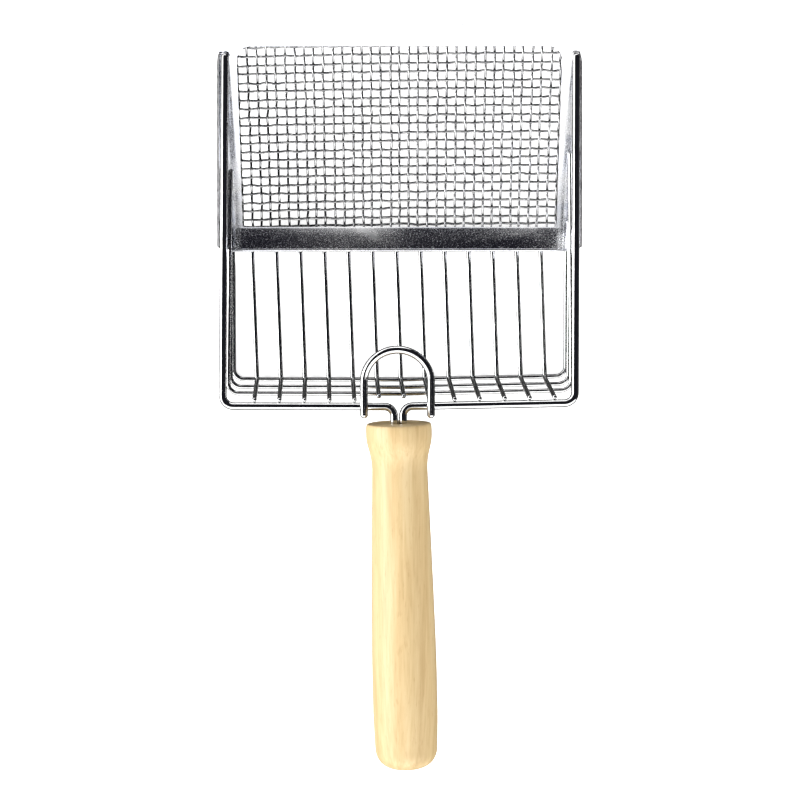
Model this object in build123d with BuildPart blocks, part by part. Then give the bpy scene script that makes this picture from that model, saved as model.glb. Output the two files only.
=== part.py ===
from build123d import *
import math
import os

# Wire sifting scoop with a turned wooden handle.
# +X is the right-hand side, +Y the leading edge of the tray, +Z up.
# The origin is at the bottom centre of the whole scoop. All sizes are in millimetres.

os.makedirs("parts", exist_ok=True)

# ---------------------------------------------------------------- driving dimensions

half_length = 140.03        # leading edge at +Y, handle butt at -Y
weld_gap = 0.01             # clearance left where one welded wire touches another
end_dome = 0.92             # rounding of a wire's end, as a share of its radius

# Wires
rim_radius = 1.5            # heavy rim wire and loop, 3.0 mm wire
wire_radius = 0.9           # side, back and floor wires, 1.8 mm wire
mesh_radius = 0.45          # woven wire in the tray window, 0.9 mm wire

# Rim: two mirrored wires, each ending as a tang inside the handle
rim_height = 29.0           # centre of the rim wire above the ground
rim_half_width_back = 66.02
rim_half_width_front = 65.37
rim_shift_back = -0.34      # the side runs lean a little to the right going forward
rim_shift_front = 0.43
rim_corner_bend = 4.0
tang_bend = 3.6
tang_spacing = 3.3
tang_shift = -0.53          # the two tangs sit left of the centre line
tang_length = 64.0          # length hidden in the handle
rim_end_y = 129.68          # centre of the domed front end, lying on the tray

# Back wall: the floor wires turn up here and lean outwards
wall_lean = 14.5            # degrees from vertical
wall_foot_y = 7.5           # where the wall line meets the floor wires' centre height
wall_bend = 1.6
back_turn_left = 0.15       # the back's left half leans forward by this, degrees
back_turn_right = 1.1       # and its right half by this
back_kink_bend = 60.0       # bend radius where the two halves meet

# Side and back wires, from the top one down
upper_height = 14.4
middle_height = 5.6
ground_height = wire_radius
upper_half_width = 65.9
middle_half_width = 65.7
ground_half_width = 65.1
side_corner_bend = 4.0
upper_ends = ((-64.75, 88.2), (65.1, 94.7))      # X and Y where its ends rest on the tray
middle_ends = ((-65.7, 69.2), (65.7, 69.2))
ground_end_y = 62.18
ground_rise_y = 50.18       # the ground wire is level up to here, then rises to the tray
ground_rise_bend = 12.0
ground_back_y = 7.73

# Floor wires
floor_wire_count = 13
floor_wire_pitch = 9.38
lattice_shift_front = -1.45  # sideways offset of the whole group at the tray
lattice_shift_foot = 0.45   # the same at the foot of the back wall
lattice_shift_rim = 1.75    # the same at the rim
floor_wire_tip_height = 30.2
short_tip_height = 25.0     # the two middle wires stop below the rim
short_wires = (6, 7)
floor_wire_front_y = 62.78

# Tray
sheet = 0.8
tray_half_width = 68.2
tray_rear_y = 57.98
tray_strip_slope = 6.0      # slope of the rear strip, degrees
tray_crease_radius = 30.0   # bend between the rear strip and the ramp
tray_ramp_y = 66.58         # the bend ends and the ramp starts here
tray_ramp_radius = 637.0    # curvature of the ramp's upper face
tray_ramp_slope = 16.0      # slope of the ramp where it starts, degrees
tray_corner_radius = 14.5
tray_fold_radius = 1.5      # inside radius between ramp and side flange
flange_rear_height = 29.4   # top of the side flange at its rear end
flange_front_y = 130.68     # the flange runs out into the ramp here
hem_radius = 0.62
hem_set_in = 0.2            # the hem sits this far forward of the sheet's edge
window_half_width = 60.9
window_rear_y = 67.08
window_front_y = 132.48
window_front_corner = 5.3
window_rear_corner = 0.8

# Woven mesh below the window
mesh_pitch_across = 3.57
mesh_pitch_along = 3.29
mesh_margin = 3.4           # how far the mesh reaches under the tray's margin

# Loop on top of the rim
loop_half_width = 12.5
loop_shift = -0.83           # the loop sits left of the centre line
loop_straight = 9.3         # from the rim wire forward to the start of the arch
loop_tail = 4.4             # from the rim wire back to the end of each leg
loop_rise = 12.0            # degrees above the rim plane

# Handle
handle_gap = 6.35           # rim wire centre to the handle's front face
handle_droop = 3.4          # degrees below the rim plane
handle_lean = 1.29          # degrees to the right of the scoop's centre line
face_radius = 11.6          # flat front face, inside its rounded edge
face_edge = 1.6             # how hard the rounding pulls along the handle
collar_radius = 12.4
collar_station = 3.8        # stations are measured along the handle from its front face
collar_fall = 5.4           # control lengths of the curve from the collar down to the neck
neck_fall = 7.0
neck_radius = 10.44
neck_station = 17.5
neck_rise = 0.5             # control lengths of the long swelling up to the grip
grip_rise = 18.0
grip_radius = 12.3
grip_start = 96.0           # the straight cylindrical part of the grip
grip_end = 110.0
butt_radius = 11.9          # where the rounding of the butt starts
butt_rounding = 7.2         # its length along the handle
butt_flat_radius = 4.9
butt_taper = 5.0            # control length before the rounding
butt_pull = 4.2             # control length of the rounding, at each end of it
tang_bore_radius = 3.2
tang_bore_depth = 66.0

# ---------------------------------------------------------------- derived places

lean_sine = math.sin(math.radians(wall_lean))
lean_cosine = math.cos(math.radians(wall_lean))
floor_height = ground_height + 2 * wire_radius + weld_gap


def wall_y(height):
    """Y of the wall wires' centre line at a height."""
    return wall_foot_y - (height - floor_height) * lean_sine / lean_cosine


def back_shift(x):
    """How far forward of the centre the back wall is at a sideways place."""
    turn = back_turn_right if x > 0 else back_turn_left
    return abs(x) * math.tan(math.radians(turn))


def outside_wall_y(height, radius):
    """Y of a level wire that lies against the outside of the wall wires."""
    return wall_y(height) - (wire_radius + radius + weld_gap) / lean_cosine


rim_y = outside_wall_y(rim_height, rim_radius)
upper_y = outside_wall_y(upper_height, wire_radius)
middle_y = outside_wall_y(middle_height, wire_radius)

# Seen from the side, the tray's upper face is a straight strip, a tight bend and a long arc.
strip_slope = math.radians(tray_strip_slope)
ramp_slope = math.radians(tray_ramp_slope)
tray_rear_height = floor_height + wire_radius + weld_gap + sheet
crease_y = tray_ramp_y - tray_crease_radius * (math.sin(ramp_slope) - math.sin(strip_slope))
crease_height = tray_rear_height + (crease_y - tray_rear_y) * math.tan(strip_slope)
crease_centre_y = crease_y - tray_crease_radius * math.sin(strip_slope)
crease_centre_z = crease_height + tray_crease_radius * math.cos(strip_slope)
tray_centre_y = tray_ramp_y - tray_ramp_radius * math.sin(ramp_slope)
tray_centre_z = crease_centre_z + (tray_ramp_radius - tray_crease_radius) * math.cos(ramp_slope)


def tray_height(y, depth=0.0):
    """Height of the surface that lies a given depth below the tray's upper face."""
    if y < crease_y:
        strip_height = tray_rear_height + (y - tray_rear_y) * math.tan(strip_slope)
        return strip_height - depth / math.cos(strip_slope)
    if y < tray_ramp_y:
        crease_depth = tray_crease_radius + depth
        return crease_centre_z - math.sqrt(crease_depth**2 - (y - crease_centre_y) ** 2)
    ramp_depth = tray_ramp_radius + depth
    return tray_centre_z - math.sqrt(ramp_depth**2 - (y - tray_centre_y) ** 2)


# ---------------------------------------------------------------- bent wires

def bent_wire(name, points, bends, radius):
    """A round wire through the points, bent at each corner, with domed ends."""
    with BuildPart() as wire:
        with BuildLine() as path:
            FilletPolyline(*points, radius=bends)
        with BuildSketch(Plane(origin=path.line @ 0, z_dir=path.line % 0)):
            Circle(radius)
        sweep(path=path.line)
        ends = wire.faces().filter_by(GeomType.PLANE).edges()
        fillet(ends, radius=end_dome * radius)
    wire.part.label = name
    export_step(wire.part, f"parts/{name}.step")
    return wire.part


# Handle frame: origin at the centre of the front face, local Z along the grip to the butt.
lean = math.radians(handle_lean)
droop = math.radians(handle_droop)
grip_direction = Vector(
    math.sin(lean) * math.cos(droop),
    -math.cos(lean) * math.cos(droop),
    -math.sin(droop),
)
grip_side = Vector(math.cos(lean), math.sin(lean), 0)
grip_root = Vector(tang_shift, rim_y, rim_height)
handle_face = Plane(
    origin=grip_root + grip_direction * handle_gap,
    x_dir=grip_side,
    z_dir=grip_direction,
)

# Rim wires: domed end on the tray, side, rear corner, back, tang in the handle.
rim_end_height = tray_height(rim_end_y, -(rim_radius + weld_gap))
tang_run = grip_direction * (handle_gap + tang_length)
for name, side in (("left_rim_wire", -1), ("right_rim_wire", 1)):
    tang_corner = grip_root + grip_side * (side * tang_spacing / 2)
    front_x = side * rim_half_width_front + rim_shift_front
    back_x = side * rim_half_width_back + rim_shift_back
    bent_wire(
        name,
        [
            (front_x, rim_end_y, rim_end_height),
            (back_x, rim_y + back_shift(back_x), rim_height),
            tang_corner,
            tang_corner + tang_run,
        ],
        [rim_corner_bend, tang_bend],
        rim_radius,
    )


def back_points(half_width, back_y, height):
    """Corners of a level wire round the back, with the slight kink in the middle."""
    return [
        (-half_width, back_y + back_shift(-half_width), height),
        (0, back_y, height),
        (half_width, back_y + back_shift(half_width), height),
    ]


back_bends = [side_corner_bend, back_kink_bend, side_corner_bend]

# Upper and middle side wires: level round the back, their ends resting on the tray.
for name, height, back_y, half_width, ends in (
    ("upper_side_wire", upper_height, upper_y, upper_half_width, upper_ends),
    ("middle_side_wire", middle_height, middle_y, middle_half_width, middle_ends),
):
    left_end, right_end = (
        (end_x, end_y, tray_height(end_y, -(wire_radius + weld_gap))) for end_x, end_y in ends
    )
    bent_wire(
        name,
        [left_end, *back_points(half_width, back_y, height), right_end],
        back_bends,
        wire_radius,
    )

# Ground wire: the scoop stands on it. Its ends rise to the underside of the tray.
ground_end_height = tray_height(ground_end_y, sheet + wire_radius + weld_gap)
bent_wire(
    "ground_side_wire",
    [
        (-ground_half_width, ground_end_y, ground_end_height),
        (-ground_half_width, ground_rise_y, ground_height),
        *back_points(ground_half_width, ground_back_y, ground_height),
        (ground_half_width, ground_rise_y, ground_height),
        (ground_half_width, ground_end_y, ground_end_height),
    ],
    [ground_rise_bend, *back_bends, ground_rise_bend],
    wire_radius,
)

# Floor wires: from under the tray back along the floor, then up inside the back wall.
middle_wire = (floor_wire_count + 1) / 2
for number in range(1, floor_wire_count + 1):
    x = (number - middle_wire) * floor_wire_pitch
    tip_height = short_tip_height if number in short_wires else floor_wire_tip_height
    share = (tip_height - floor_height) / (rim_height - floor_height)
    tip_shift = lattice_shift_foot + (lattice_shift_rim - lattice_shift_foot) * share
    foot_x = x + lattice_shift_foot
    tip_x = x + tip_shift
    bent_wire(
        f"floor_wire_{number:02d}",
        [
            (x + lattice_shift_front, floor_wire_front_y, floor_height),
            (foot_x, wall_foot_y + back_shift(foot_x), floor_height),
            (tip_x, wall_y(tip_height) + back_shift(tip_x), tip_height),
        ],
        wall_bend,
        wire_radius,
    )

# ---------------------------------------------------------------- front tray

crease_axis = Axis((0, crease_centre_y, crease_centre_z), (1, 0, 0))
tray_axis = Axis((0, tray_centre_y, tray_centre_z), (1, 0, 0))
flange_blank = rim_height
flange_end_angle = math.degrees(math.asin((flange_front_y - tray_centre_y) / tray_ramp_radius))
tray_end_angle = math.degrees(
    math.asin((half_length - tray_centre_y) / (tray_ramp_radius + sheet))
)


def radial_plane(axis, radius, angle):
    """Plane across the tray at an angle round an axis: local X is +X, local Y points outwards."""
    radians = math.radians(angle)
    outwards = Vector(0, math.sin(radians), -math.cos(radians))
    along = Vector(0, math.cos(radians), math.sin(radians))
    return Plane(origin=axis.position + outwards * radius, x_dir=(1, 0, 0), z_dir=along)


def channel_section(plane):
    """Section across the tray: flat sheet, rounded folds and both flanges."""
    with BuildSketch(plane) as section:
        with BuildLine():
            FilletPolyline(
                (-tray_half_width, -flange_blank),
                (-tray_half_width, sheet),
                (tray_half_width, sheet),
                (tray_half_width, -flange_blank),
                radius=tray_fold_radius + sheet,
            )
            offset(amount=sheet, side=Side.RIGHT)
        make_face()
    return section.sketch


crease_start = radial_plane(crease_axis, tray_crease_radius, tray_strip_slope)
ramp_start = radial_plane(tray_axis, tray_ramp_radius, tray_ramp_slope)
ramp_end = radial_plane(tray_axis, tray_ramp_radius, flange_end_angle)
strip_length = (crease_y - tray_rear_y) / math.cos(strip_slope)

with BuildPart() as front_tray:
    # Rear strip, bend and ramp, all with the same section
    extrude(channel_section(crease_start), amount=-strip_length)
    revolve(
        channel_section(crease_start),
        axis=crease_axis,
        revolution_arc=tray_ramp_slope - tray_strip_slope,
    )
    revolve(
        channel_section(ramp_start),
        axis=tray_axis,
        revolution_arc=flange_end_angle - tray_ramp_slope,
    )
    # Flat lip in front of the flanges
    with BuildSketch(ramp_end):
        Rectangle(2 * tray_half_width, sheet, align=(Align.CENTER, Align.MIN))
    revolve(axis=tray_axis, revolution_arc=tray_end_angle - flange_end_angle)
    # Top edge of the flanges, sloping down to meet the ramp
    with BuildSketch(Plane.YZ):
        with BuildLine():
            Polyline(
                (tray_rear_y - flange_blank, flange_rear_height),
                (tray_rear_y, flange_rear_height),
                (flange_front_y, tray_height(flange_front_y)),
                (flange_front_y, 3 * rim_height),
                (tray_rear_y - flange_blank, 3 * rim_height),
                close=True,
            )
        make_face()
    extrude(amount=tray_half_width + 1, both=True, mode=Mode.SUBTRACT)
    # Square rear ends of the flanges
    with BuildSketch(Plane.YZ):
        with Locations((tray_rear_y, tray_rear_height)):
            Rectangle(flange_blank, 2 * rim_height, align=(Align.MAX, Align.MIN))
    extrude(amount=tray_half_width + 1, both=True, mode=Mode.SUBTRACT)
    # Leading edge with rounded corners, seen from above
    with BuildSketch(Plane.XY) as outline:
        with Locations((0, half_length)):
            Rectangle(2 * tray_half_width, half_length, align=(Align.CENTER, Align.MAX))
        fillet(outline.vertices().group_by(Axis.Y)[-1], radius=tray_corner_radius)
    extrude(amount=2 * rim_height, mode=Mode.INTERSECT)
    # Rolled hem on the rear edge
    with BuildSketch(Plane.YZ):
        with Locations((tray_rear_y + hem_set_in, tray_rear_height - sheet + hem_radius)):
            Circle(hem_radius)
    extrude(amount=tray_half_width - sheet - tray_fold_radius, both=True)
    # Window over the mesh
    with BuildSketch(Plane.XY) as window:
        with Locations((0, (window_rear_y + window_front_y) / 2)):
            Rectangle(2 * window_half_width, window_front_y - window_rear_y)
        fillet(window.vertices().group_by(Axis.Y)[-1], radius=window_front_corner)
        fillet(window.vertices().group_by(Axis.Y)[0], radius=window_rear_corner)
    extrude(amount=2 * rim_height, mode=Mode.SUBTRACT)
front_tray.part.label = "front_tray"
export_step(front_tray.part, "parts/front_tray.step")

# ---------------------------------------------------------------- woven mesh

# Long wires follow the ramp under the tray; cross wires lie below them, straight across.
long_radius = tray_ramp_radius + sheet + weld_gap + mesh_radius
cross_radius = long_radius + 2 * mesh_radius + weld_gap
mesh_rear_angle = math.asin((window_rear_y - mesh_margin - tray_centre_y) / cross_radius)
mesh_front_angle = math.asin((window_front_y + mesh_margin - tray_centre_y) / cross_radius)
mesh_angle = mesh_front_angle - mesh_rear_angle
mesh_half_width = window_half_width + mesh_margin
long_wire_count = 2 * int(mesh_half_width / mesh_pitch_across) + 1
cross_wire_count = int(mesh_angle * cross_radius / mesh_pitch_along) + 1

long_wire_start = Plane(
    origin=(
        0,
        tray_centre_y + long_radius * math.sin(mesh_rear_angle),
        tray_centre_z - long_radius * math.cos(mesh_rear_angle),
    ),
    x_dir=(1, 0, 0),
    z_dir=(0, math.cos(mesh_rear_angle), math.sin(mesh_rear_angle)),
)
with BuildPart() as mesh_long_wires:
    with BuildSketch(long_wire_start):
        with GridLocations(mesh_pitch_across, 1, long_wire_count, 1):
            Circle(mesh_radius)
    revolve(
        axis=Axis((0, tray_centre_y, tray_centre_z), (1, 0, 0)),
        revolution_arc=math.degrees(mesh_angle),
    )
mesh_long_wires.part.label = "mesh_long_wires"
export_step(mesh_long_wires.part, "parts/mesh_long_wires.step")

with BuildPart() as mesh_cross_wires:
    with BuildSketch(Plane.YZ):
        with Locations((tray_centre_y, tray_centre_z)):
            with PolarLocations(
                cross_radius,
                cross_wire_count,
                start_angle=math.degrees(mesh_rear_angle) - 90,
                angular_range=math.degrees(mesh_angle),
                endpoint=True,
            ):
                Circle(mesh_radius)
    extrude(amount=mesh_half_width, both=True)
mesh_cross_wires.part.label = "mesh_cross_wires"
export_step(mesh_cross_wires.part, "parts/mesh_cross_wires.step")

# ---------------------------------------------------------------- loop on the rim

rise = math.radians(loop_rise)
loop_plane = Plane(
    origin=(loop_shift, rim_y, rim_height + (2 * rim_radius + weld_gap) / math.cos(rise)),
    x_dir=(1, 0, 0),
    z_dir=(0, -math.sin(rise), math.cos(rise)),
)
with BuildPart() as rim_loop:
    with BuildLine(loop_plane) as loop_path:
        left_leg = Line((-loop_half_width, -loop_tail), (-loop_half_width, loop_straight))
        arch = ThreePointArc(
            (-loop_half_width, loop_straight),
            (0, loop_straight + loop_half_width),
            (loop_half_width, loop_straight),
        )
        right_leg = Line((loop_half_width, loop_straight), (loop_half_width, -loop_tail))
    with BuildSketch(Plane(origin=left_leg @ 0, z_dir=left_leg % 0)):
        Circle(rim_radius)
    sweep(path=loop_path.wire())
    fillet(rim_loop.faces().filter_by(GeomType.PLANE).edges(), radius=end_dome * rim_radius)
rim_loop.part.label = "rim_loop"
export_step(rim_loop.part, "parts/rim_loop.step")

# ---------------------------------------------------------------- turned handle

# The butt's flat end is tilted by the droop, so its rim reaches furthest back.
handle_reach = half_length + handle_face.origin.Y - butt_flat_radius * math.sin(droop)
handle_length = -handle_reach / grip_direction.Y
butt_station = handle_length - butt_rounding
butt_slope = (grip_radius - butt_radius) / (butt_station - grip_end)
with BuildPart() as handle:
    # Half profile: local X is the radius, local Y runs along the grip to the butt
    with BuildSketch(Plane(handle_face.origin, grip_side, grip_side.cross(grip_direction))):
        with BuildLine():
            Polyline(
                (face_radius, 0),
                (0, 0),
                (0, handle_length),
                (butt_flat_radius, handle_length),
            )
            # Rounded front edge, collar and neck
            Bezier(
                (face_radius, 0),
                (collar_radius, 0),
                (collar_radius, face_edge),
                (collar_radius, collar_station),
            )
            Bezier(
                (collar_radius, collar_station),
                (collar_radius, collar_station + collar_fall),
                (neck_radius, neck_station - neck_fall),
                (neck_radius, neck_station),
            )
            # Long swelling up to the grip
            Bezier(
                (neck_radius, neck_station),
                (neck_radius, neck_station + neck_rise),
                (grip_radius, grip_start - grip_rise),
                (grip_radius, grip_start),
            )
            Line((grip_radius, grip_start), (grip_radius, grip_end))
            # Taper and rounding of the butt
            Bezier(
                (grip_radius, grip_end),
                (grip_radius, grip_end + butt_taper),
                (butt_radius + butt_slope * butt_taper, butt_station - butt_taper),
                (butt_radius, butt_station),
            )
            Bezier(
                (butt_radius, butt_station),
                (butt_radius - butt_slope * butt_pull, butt_station + butt_pull),
                (butt_flat_radius + butt_pull, handle_length),
                (butt_flat_radius, handle_length),
            )
        make_face()
    revolve(axis=Axis(handle_face.origin, grip_direction))
    # Bore that both tangs are driven into
    with BuildSketch(handle_face):
        Circle(tang_bore_radius)
    extrude(amount=tang_bore_depth, mode=Mode.SUBTRACT)
handle.part.label = "handle"
export_step(handle.part, "parts/handle.step")
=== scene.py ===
import math
import random

import bpy
import numpy
from mathutils import Matrix, Vector


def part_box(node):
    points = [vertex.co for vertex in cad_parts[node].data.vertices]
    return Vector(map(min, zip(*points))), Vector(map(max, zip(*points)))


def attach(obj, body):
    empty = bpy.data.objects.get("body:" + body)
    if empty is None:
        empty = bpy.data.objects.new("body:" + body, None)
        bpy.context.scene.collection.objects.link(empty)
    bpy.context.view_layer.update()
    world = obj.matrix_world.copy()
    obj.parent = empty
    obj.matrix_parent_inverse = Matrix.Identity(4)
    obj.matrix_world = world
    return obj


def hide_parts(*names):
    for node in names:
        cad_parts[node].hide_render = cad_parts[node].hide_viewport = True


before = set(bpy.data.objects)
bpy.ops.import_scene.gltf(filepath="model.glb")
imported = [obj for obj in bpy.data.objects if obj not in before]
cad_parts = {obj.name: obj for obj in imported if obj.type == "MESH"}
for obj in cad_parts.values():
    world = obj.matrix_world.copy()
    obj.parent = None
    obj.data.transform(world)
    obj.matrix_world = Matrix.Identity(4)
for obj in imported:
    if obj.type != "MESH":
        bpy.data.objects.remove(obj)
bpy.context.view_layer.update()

MM = 0.001
scene = bpy.context.scene

# ------------------------------------------------------------------ camera
# Almost straight down, leaning a little towards the leading edge.
CAMERA_TILT = math.radians(2.0)
CAMERA_ROLL = math.radians(-0.05)
CAMERA_DISTANCE = 600 * MM
CAMERA_LENS = 72.0              # millimetres, on the sensor below
CAMERA_SENSOR = 36.0
CAMERA_REACH = 50               # metres, well past the floor's far edge
AIM = Vector((0.1, 0.63, 29.0)) * MM


def make_camera():
    """The camera turns about the point it is aimed at."""
    data = bpy.data.cameras.new("camera")
    data.lens = CAMERA_LENS
    data.sensor_width = CAMERA_SENSOR
    data.dof.use_dof = False
    data.clip_end = CAMERA_REACH
    camera = bpy.data.objects.new("camera", data)
    scene.collection.objects.link(camera)
    tilt = Matrix.Rotation(-CAMERA_TILT, 4, "X")
    roll = Matrix.Rotation(CAMERA_ROLL, 4, "Z")
    camera.matrix_world = Matrix.Translation(AIM) @ tilt @ roll @ Matrix.Translation(
        (0, 0, CAMERA_DISTANCE)
    )
    scene.camera = camera


make_camera()


# ------------------------------------------------------------------ node helpers
def new_material(name):
    material = bpy.data.materials.new(name)
    material.use_nodes = True
    nodes = material.node_tree.nodes
    return material, nodes, material.node_tree.links, nodes["Principled BSDF"]


def add_node(nodes, kind, **settings):
    node = nodes.new(kind)
    for key, value in settings.items():
        setattr(node, key, value)
    return node


def noise(nodes, links, vector, scale, detail=2.0, roughness=0.5, distortion=0.0):
    node = add_node(nodes, "ShaderNodeTexNoise")
    node.inputs["Scale"].default_value = scale
    node.inputs["Detail"].default_value = detail
    node.inputs["Roughness"].default_value = roughness
    node.inputs["Distortion"].default_value = distortion
    links.new(vector, node.inputs["Vector"])
    return node.outputs["Fac"]


def ramp(nodes, links, value, stops):
    node = add_node(nodes, "ShaderNodeValToRGB")
    elements = node.color_ramp.elements
    while len(elements) < len(stops):
        elements.new(0.5)
    for element, (position, colour) in zip(elements, stops):
        element.position = position
        element.color = (*colour, 1.0)
    links.new(value, node.inputs["Fac"])
    return node.outputs["Color"]


def remap(nodes, links, value, low, high, to_low, to_high):
    node = add_node(nodes, "ShaderNodeMapRange")
    for key, number in (
        ("From Min", low),
        ("From Max", high),
        ("To Min", to_low),
        ("To Max", to_high),
    ):
        node.inputs[key].default_value = number
    links.new(value, node.inputs["Value"])
    return node.outputs["Result"]


def bump(nodes, links, height, strength, distance, target):
    node = add_node(nodes, "ShaderNodeBump")
    node.inputs["Strength"].default_value = strength
    node.inputs["Distance"].default_value = distance
    links.new(height, node.inputs["Height"])
    links.new(node.outputs["Normal"], target.inputs["Normal"])


def object_coordinates(nodes, links, scale=(1, 1, 1), rotation=(0, 0, 0)):
    coordinates = add_node(nodes, "ShaderNodeTexCoord")
    mapping = add_node(nodes, "ShaderNodeMapping")
    mapping.inputs["Scale"].default_value = scale
    mapping.inputs["Rotation"].default_value = rotation
    links.new(coordinates.outputs["Object"], mapping.inputs["Vector"])
    return mapping.outputs["Vector"]


# ------------------------------------------------------------------ materials
# Noise scales are per metre of the object, before any stretch.
PATCH_SCALE = 320
POLISH_SCALE = 1500
PIT_SCALE = 2600
PIT_STRENGTH = 0.2
SPANGLE_SCALE = 3000
SPANGLE_STRENGTH = 0.08
SMEAR_SCALE = 38
SMEAR_STRETCH = (0.5, 1.6, 1.0)
SMEAR_TURN = (0, 0, 0.35)
RELIEF = 0.03 * MM              # depth of the bump on every metal
TIN_SHADE = (0.74, 0.76, 0.82)
TIN_BRIGHT = (0.88, 0.88, 0.89)
FIBRE_SCALE = 1500
BAND_SCALE = 230
FLECK_SCALE = 1300
FIBRE_STRETCH = (1.0, 0.035, 1.0)
FLECK_STRETCH = (1.0, 0.16, 1.0)
FIBRE_SHARE = 0.35              # the rest of the wood's tone comes from the broad bands
WOOD_RELIEF = 0.05 * MM
WOOD_RELIEF_STRENGTH = 0.12
WOOD_DARK = (0.62, 0.43, 0.20)
WOOD_MIDDLE = (0.72, 0.53, 0.27)
WOOD_LIGHT = (0.78, 0.60, 0.33)
WOOD_FLECK = (0.62, 0.42, 0.25, 1.0)
VARNISH = 0.15
VARNISH_ROUGHNESS = 0.35


def plated_wire(name, colour, dull, roughness):
    """Bright plating with pits, an uneven polish and a few dull patches."""
    material, nodes, links, shader = new_material(name)
    shader.inputs["Metallic"].default_value = 1.0
    where = object_coordinates(nodes, links)
    patches = noise(nodes, links, where, PATCH_SCALE, 4.0, 0.6)
    links.new(
        ramp(nodes, links, patches, [(0.36, dull), (0.6, colour)]),
        shader.inputs["Base Color"],
    )
    fine = noise(nodes, links, where, POLISH_SCALE, 3.0)
    links.new(
        remap(nodes, links, fine, 0.3, 0.7, roughness * 0.6, roughness * 1.7),
        shader.inputs["Roughness"],
    )
    pits = noise(nodes, links, where, PIT_SCALE, 2.0)
    bump(nodes, links, pits, PIT_STRENGTH, RELIEF, shader)
    return material


def tinplate():
    """Bright sheet, smeared in places, with a fine spangle that sparkles where it is dark."""
    material, nodes, links, shader = new_material("tinplate")
    shader.inputs["Metallic"].default_value = 1.0
    where = object_coordinates(nodes, links)
    stretched = object_coordinates(nodes, links, scale=SMEAR_STRETCH, rotation=SMEAR_TURN)
    smears = noise(nodes, links, stretched, SMEAR_SCALE, 3.0, 0.5, 0.6)
    links.new(
        ramp(nodes, links, smears, [(0.38, TIN_SHADE), (0.62, TIN_BRIGHT)]),
        shader.inputs["Base Color"],
    )
    smeared = remap(nodes, links, smears, 0.46, 0.70, 0.11, 0.28)
    grain = noise(nodes, links, where, SPANGLE_SCALE, 2.0, 0.7)
    spangled = remap(nodes, links, grain, 0.60, 0.70, 0.0, 0.45)
    roughness = add_node(nodes, "ShaderNodeMath", operation="ADD")
    links.new(smeared, roughness.inputs[0])
    links.new(spangled, roughness.inputs[1])
    links.new(roughness.outputs[0], shader.inputs["Roughness"])
    bump(nodes, links, grain, SPANGLE_STRENGTH, RELIEF, shader)
    return material


def beech():
    """Pale varnished wood with fine lines and short flecks along the handle."""
    material, nodes, links, shader = new_material("beech")
    where = object_coordinates(nodes, links, scale=FIBRE_STRETCH)
    fibres = noise(nodes, links, where, FIBRE_SCALE, 4.0, 0.6, 0.2)
    bands = noise(nodes, links, where, BAND_SCALE, 3.0, 0.55, 0.6)
    flecks_at = object_coordinates(nodes, links, scale=FLECK_STRETCH)
    flecks = noise(nodes, links, flecks_at, FLECK_SCALE, 2.0, 0.5)
    tone = add_node(nodes, "ShaderNodeMath", operation="MULTIPLY_ADD")
    tone.inputs[1].default_value = FIBRE_SHARE
    links.new(fibres, tone.inputs[0])
    base = add_node(nodes, "ShaderNodeMath", operation="MULTIPLY")
    base.inputs[1].default_value = 1 - FIBRE_SHARE
    links.new(bands, base.inputs[0])
    links.new(base.outputs[0], tone.inputs[2])
    grain_colour = ramp(
        nodes,
        links,
        tone.outputs[0],
        [(0.36, WOOD_DARK), (0.5, WOOD_MIDDLE), (0.62, WOOD_LIGHT)],
    )
    fleck_colour = add_node(nodes, "ShaderNodeMix", data_type="RGBA", blend_type="MULTIPLY")
    links.new(remap(nodes, links, flecks, 0.6, 0.72, 0.0, 0.22), fleck_colour.inputs["Factor"])
    links.new(grain_colour, fleck_colour.inputs["A"])
    fleck_colour.inputs["B"].default_value = WOOD_FLECK
    links.new(fleck_colour.outputs["Result"], shader.inputs["Base Color"])
    links.new(
        remap(nodes, links, fibres, 0.3, 0.7, 0.42, 0.58),
        shader.inputs["Roughness"],
    )
    shader.inputs["Coat Weight"].default_value = VARNISH
    shader.inputs["Coat Roughness"].default_value = VARNISH_ROUGHNESS
    bump(nodes, links, fibres, WOOD_RELIEF_STRENGTH, WOOD_RELIEF, shader)
    return material


RIM = plated_wire("rim_plating", (0.72, 0.72, 0.72), (0.60, 0.60, 0.60), 0.06)
BASKET = plated_wire("basket_plating", (0.66, 0.66, 0.66), (0.52, 0.52, 0.52), 0.08)
MESH = plated_wire("mesh_galvanised", (0.50, 0.50, 0.50), (0.20, 0.20, 0.21), 0.16)
CUT_EDGE = plated_wire("cut_edge", (0.90, 0.90, 0.90), (0.72, 0.72, 0.72), 0.45)
TRAY = tinplate()
WOOD = beech()

# ------------------------------------------------------------------ CAD nodes that stay
CAD_FINISH = {
    "left_rim_wire": RIM,
    "right_rim_wire": RIM,
    "rim_loop": RIM,
    "front_tray": TRAY,
    "handle": WOOD,
    "mesh_long_wires": MESH,
    "mesh_cross_wires": MESH,
}
for name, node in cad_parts.items():
    node.data.materials.clear()
    node.data.materials.append(CAD_FINISH.get(name, BASKET))


FLANGE_BAND = 1.0 * MM          # flange polygons lie this near to the tray's side
FACING_UP = 0.9                 # least upward part of their normal


def finish_cut_edges(node):
    """The narrow upward edges of the tray's flanges are bare and dull where the sheet was cut."""
    node.data.materials.append(CUT_EDGE)
    flange_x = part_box("front_tray")[1].x - FLANGE_BAND
    for polygon in node.data.polygons:
        if abs(polygon.center.x) > flange_x and polygon.normal.z > FACING_UP:
            polygon.material_index = 1


finish_cut_edges(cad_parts["front_tray"])

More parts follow.
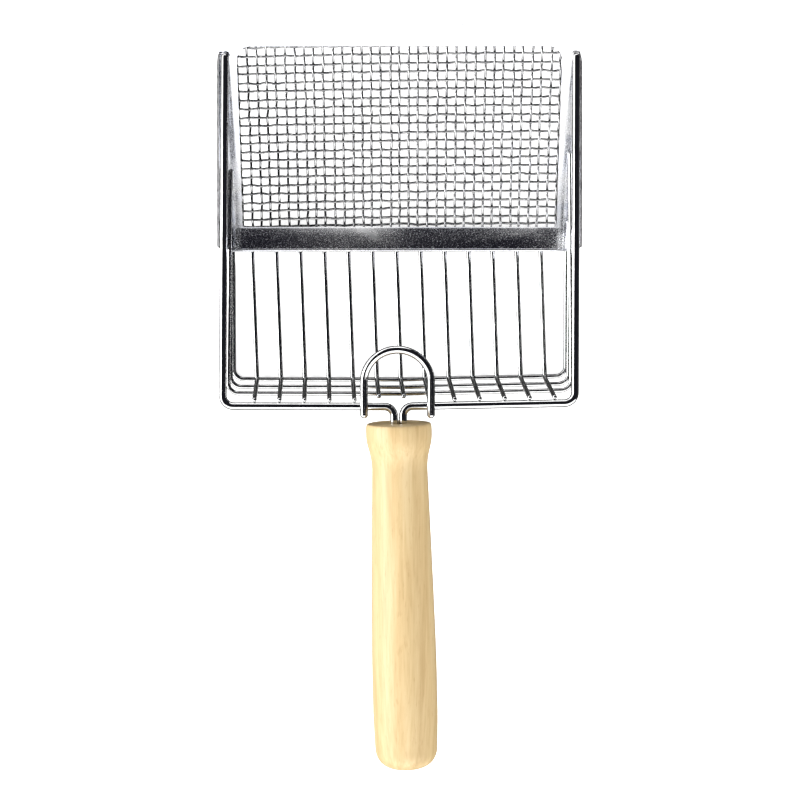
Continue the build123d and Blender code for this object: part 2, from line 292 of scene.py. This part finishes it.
# ------------------------------------------------------------------ woven mesh
MESH_RADIUS = 0.45 * MM
PITCH_ACROSS = 3.57 * MM
PITCH_ALONG = 3.29 * MM
CRIMP = 1.02 * MESH_RADIUS      # how far a wire leaves the middle surface at a crossing
WIRE_WANDER = 0.13 * MM         # how unevenly the wires are spaced
CROSSING_WANDER = 0.10 * MM     # and how unevenly each one runs
ROW_SLOPE = 0.013               # the cross wires rise to the right, less so further right
ROW_MARGIN = 1.3 * MM           # room for that at both ends of the long wires
WANDER_SEED = 11


def fit_arc(node):
    """Centre and radius, seen from the side, of the arc that a CAD node's vertices lie about."""
    points = numpy.array([(v.co.y, v.co.z) for v in node.data.vertices], float)
    system = numpy.column_stack((2 * points, numpy.ones(len(points))))
    target = (points**2).sum(axis=1)
    centre_y, centre_z, rest = numpy.linalg.lstsq(system, target, rcond=None)[0]
    radius = math.sqrt(rest + centre_y**2 + centre_z**2)
    return centre_y, centre_z, radius


def woven_mesh():
    """Both sets of crimped wires, each passing over and under the others by turns."""
    low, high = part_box("mesh_long_wires")
    centre_y, centre_z, long_radius = fit_arc(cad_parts["mesh_long_wires"])
    middle_radius = long_radius + MESH_RADIUS
    start = middle_radius * math.asin((low.y - centre_y) / middle_radius)
    end = middle_radius * math.asin((high.y - centre_y) / middle_radius)
    half_width = high.x
    columns = 2 * int((half_width - MESH_RADIUS) / PITCH_ACROSS) + 1
    rows = int((end - start - 2 * ROW_MARGIN) / PITCH_ALONG) + 1

    def on_ramp(across, along, lift):
        """A point on the ramp's curved surface, lifted square off it."""
        angle = along / middle_radius
        radius = middle_radius - lift
        return (
            across,
            centre_y + radius * math.sin(angle),
            centre_z - radius * math.cos(angle),
        )

    draw = random.Random(WANDER_SEED)
    column_wander = [draw.gauss(0, WIRE_WANDER) for _ in range(columns)]
    row_wander = [draw.gauss(0, WIRE_WANDER) for _ in range(rows)]
    crossings = []
    for row in range(rows):
        for column in range(columns):
            across = (column - (columns - 1) / 2) * PITCH_ACROSS + column_wander[column]
            skew = ROW_SLOPE * across * (1 - across / half_width / 2)
            along = start + ROW_MARGIN + row * PITCH_ALONG + row_wander[row] + skew
            across += draw.gauss(0, CROSSING_WANDER)
            along += draw.gauss(0, CROSSING_WANDER)
            crossings.append((across, along))

    long_runs = []
    for column in range(columns):
        run = []
        for row in range(rows):
            across, along = crossings[row * columns + column]
            run.append((across, along, CRIMP if (row + column) % 2 else -CRIMP))
        long_runs.append([(run[0][0], start, 0.0), *run, (run[-1][0], end, 0.0)])
    cross_runs = []
    for row in range(rows):
        run = []
        for column in range(columns):
            across, along = crossings[row * columns + column]
            run.append((across, along, -CRIMP if (row + column) % 2 else CRIMP))
        cross_runs.append(run)
    for name, node, runs in (
        ("woven_long_wires", "mesh_long_wires", long_runs),
        ("woven_cross_wires", "mesh_cross_wires", cross_runs),
    ):
        piece = tubes(name, [[on_ramp(*point) for point in run] for run in runs])
        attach(piece, "root")
        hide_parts(node)


def tubes(name, runs):
    """Round wires along smooth lines through the points of each run, with closed ends."""
    curve = bpy.data.curves.new(name, "CURVE")
    curve.dimensions = "3D"
    curve.bevel_depth = MESH_RADIUS
    curve.bevel_resolution = 2
    curve.resolution_u = 4
    curve.use_fill_caps = True
    for run in runs:
        spline = curve.splines.new("BEZIER")
        spline.bezier_points.add(len(run) - 1)
        for point, place in zip(spline.bezier_points, run):
            point.co = place
            point.handle_left_type = "AUTO"
            point.handle_right_type = "AUTO"
    curve.materials.append(MESH)
    piece = bpy.data.objects.new(name, curve)
    scene.collection.objects.link(piece)
    return piece


woven_mesh()


# ------------------------------------------------------------------ surroundings
FLOOR_HALF = 4.0                # metres
FLOOR_GAP = 0.05 * MM           # keeps the floor from meeting the wires' undersides
FLOOR_GLOW = 0.8               # a lit table, which takes the shadows away
FLOOR_SEEN = (0.94, 0.94, 0.94)         # to the camera
FLOOR_REFLECTED = (0.07, 0.07, 0.07)    # to every other ray, so the plating stays dark below
STUDIO_WHITE = 2.4
STUDIO_DARK = (0.006, 0.006, 0.008)
DARK_ACROSS = (-46.0, 108.0)    # degrees from overhead, positive to the right
DARK_ALONG = (-29.0, 64.0)      # degrees from overhead, positive to the leading edge
DARK_EDGE = 1.6                 # half the width of its soft edges, degrees
KEY_PLACE = (-1.3, -0.1, 0.6)
KEY_SIZE = 0.7
KEY_POWER = 12
FILL_PLACE = (1.3, -0.3, 0.7)
FILL_SIZE = 0.9
FILL_POWER = 14


def make_floor():
    mesh = bpy.data.meshes.new("studio_floor")
    corners = [(-1, -1), (1, -1), (1, 1), (-1, 1)]
    mesh.from_pydata([(FLOOR_HALF * x, FLOOR_HALF * y, 0) for x, y in corners], [], [(0, 1, 2, 3)])
    floor = bpy.data.objects.new("studio_floor", mesh)
    scene.collection.objects.link(floor)
    floor.location.z = -FLOOR_GAP
    material, nodes, links, shader = new_material("pale_floor")
    paths = add_node(nodes, "ShaderNodeLightPath")
    seen = paths.outputs["Is Camera Ray"]
    links.new(
        ramp(nodes, links, seen, [(0.0, FLOOR_REFLECTED), (1.0, FLOOR_SEEN)]),
        shader.inputs["Base Color"],
    )
    links.new(
        remap(nodes, links, seen, 0.0, 1.0, 0.0, FLOOR_GLOW),
        shader.inputs["Emission Strength"],
    )
    shader.inputs["Emission Color"].default_value = (1.0, 1.0, 1.0, 1.0)
    shader.inputs["Roughness"].default_value = 0.9
    mesh.materials.append(material)


def make_world():
    """White studio with a dark stretch overhead that runs out to the right and forwards."""
    world = bpy.data.worlds.new("studio")
    scene.world = world
    world.use_nodes = True
    nodes, links = world.node_tree.nodes, world.node_tree.links
    background = nodes["Background"]
    coordinates = add_node(nodes, "ShaderNodeTexCoord")
    split = add_node(nodes, "ShaderNodeSeparateXYZ")
    links.new(coordinates.outputs["Generated"], split.inputs["Vector"])

    def maths(operation, first, second):
        node = add_node(nodes, "ShaderNodeMath", operation=operation)
        for socket, value in zip(node.inputs, (first, second)):
            if isinstance(value, float):
                socket.default_value = value
            else:
                links.new(value, socket)
        return node.outputs[0]

    def between(value, low, high):
        """One between two angles in degrees, nought outside, with soft edges."""
        edge = math.radians(DARK_EDGE)
        low, high = math.radians(low), math.radians(high)
        rising = remap(nodes, links, value, low - edge, low + edge, 0.0, 1.0)
        falling = remap(nodes, links, value, high - edge, high + edge, 1.0, 0.0)
        return maths("MULTIPLY", rising, falling)

    across = maths("ARCTAN2", split.outputs["X"], split.outputs["Z"])
    along = maths("ARCSINE", split.outputs["Y"], 0.0)
    dark = maths("MULTIPLY", between(across, *DARK_ACROSS), between(along, *DARK_ALONG))
    paths = add_node(nodes, "ShaderNodeLightPath")
    reflected = maths("MULTIPLY", dark, maths("SUBTRACT", 1.0, paths.outputs["Is Camera Ray"]))
    links.new(
        ramp(nodes, links, reflected, [(0.0, (1.0, 1.0, 1.0)), (1.0, STUDIO_DARK)]),
        background.inputs["Color"],
    )
    background.inputs["Strength"].default_value = STUDIO_WHITE


def area_light(name, place, size, power, in_reflections=True):
    """A soft square light aimed at the object."""
    data = bpy.data.lights.new(name, "AREA")
    data.size = size
    data.energy = power
    light = bpy.data.objects.new(name, data)
    scene.collection.objects.link(light)
    light.location = place
    light.rotation_euler = (-Vector(place)).to_track_quat("-Z", "Y").to_euler()
    light.visible_glossy = in_reflections


make_floor()
make_world()
area_light("key", KEY_PLACE, KEY_SIZE, KEY_POWER)
area_light("fill", FILL_PLACE, FILL_SIZE, FILL_POWER, in_reflections=False)
scene.view_settings.view_transform = "Standard"
